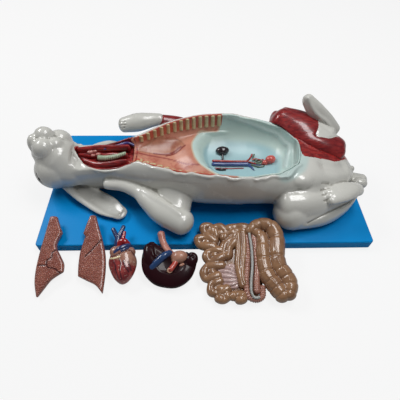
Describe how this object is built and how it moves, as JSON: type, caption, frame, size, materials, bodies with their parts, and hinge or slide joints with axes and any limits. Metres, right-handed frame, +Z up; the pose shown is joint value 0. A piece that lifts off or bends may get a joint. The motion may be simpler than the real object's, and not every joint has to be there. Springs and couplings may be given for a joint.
{
  "type": "rabbit anatomy model",
  "caption": "Life-size teaching model of a rabbit lying on its back on a blue board, opened from neck to groin, with lungs, heart, liver and intestines that lift away.",
  "frame": {"origin": "centre of the board's underside, on the table", "axes": "+X along the board from the nose to the tail, +Y away from the leaning organs towards the back edge (the animal's left side), +Z up"},
  "size_m": [0.5617, 0.3439, 0.1411],
  "materials": {
    "board": "satin blue laminate",
    "casting": "glossy white",
    "red_muscle": "glossy painted muscle red",
    "cavity_blue": "glossy pale blue",
    "chest_pink": "glossy pink and red",
    "rib": "glossy cream with red between the ribs",
    "lung_red": "glossy, finely beaded",
    "heart_red": "glossy maroon and pink",
    "liver_dark": "high gloss dark maroon",
    "gut_tan": "glossy tan",
    "fan_pale": "glossy pale pink",
    "artery": "glossy red",
    "vein": "glossy blue",
    "kidney": "high gloss dark purple",
    "bladder": "glossy pink red",
    "windpipe": "glossy grey green",
    "gland": "glossy pink",
    "eye": "high gloss near black",
    "screw_steel": "plain"
  },
  "bodies": {
    "model": {"base_board": "board", "body_screw_1": "screw_steel", "body_screw_2": "screw_steel", "body_screw_3": "screw_steel", "body_screw_4": "screw_steel", "torso_shell": "casting", "head": "casting", "right_eye": "eye", "left_eye": "eye", "right_ear": "casting", "left_ear": "casting", "right_ribs": "rib", "left_ribs": "rib", "right_foreleg": "casting", "left_foreleg_muscles": "red_muscle", "left_forepaw": "casting", "right_hind_leg": "casting", "right_hind_foot": "casting", "left_hind_muscles": "red_muscle", "left_hind_foot": "casting", "tail": "casting", "abdomen_lining": "cavity_blue", "thorax_lining": "chest_pink", "neck_lining": "red_muscle", "diaphragm": "chest_pink", "aorta": "artery", "vena_cava": "vein", "left_kidney": "kidney", "right_kidney": "kidney", "bladder": "bladder", "uterus": "bladder", "windpipe": "windpipe", "left_neck_muscle": "red_muscle", "right_neck_muscle": "red_muscle", "jugular_vein": "vein", "neck_gland": "gland"},
    "left_lung_piece": {"left_lung": "lung_red"},
    "right_lung_piece": {"right_lung": "lung_red"},
    "heart_piece": {"heart": "heart_red", "pulmonary_artery": "vein", "aortic_arch": "artery", "venae_cavae": "vein"},
    "liver_piece": {"liver": "liver_dark", "stomach": "gut_tan", "pylorus": "red_muscle", "gallbladder": "gut_tan", "gullet": "gut_tan", "portal_vein": "vein"},
    "intestine_piece": {"colon": "gut_tan", "caecum": "gut_tan", "appendix": "gut_tan", "small_intestine": "gut_tan", "mesentery": "fan_pale", "mesenteric_cord": "fan_pale"}
  },
  "joints": [
    {"name": "left_lung_lift", "type": "slide", "parent": "model", "child": "left_lung_piece", "axis": [0, -0.2239, 0.9746], "range_m": [0, 0.15]},
    {"name": "right_lung_lift", "type": "slide", "parent": "model", "child": "right_lung_piece", "axis": [0, -0.2239, 0.9746], "range_m": [0, 0.15]},
    {"name": "heart_lift", "type": "slide", "parent": "model", "child": "heart_piece", "axis": [0, -0.2605, 0.9655], "range_m": [0, 0.15]},
    {"name": "liver_lift", "type": "slide", "parent": "model", "child": "liver_piece", "axis": [0, -0.2605, 0.9655], "range_m": [0, 0.15]},
    {"name": "intestine_lift", "type": "slide", "parent": "model", "child": "intestine_piece", "axis": [0, -0.1798, 0.9837], "range_m": [0, 0.15]}
  ]
}
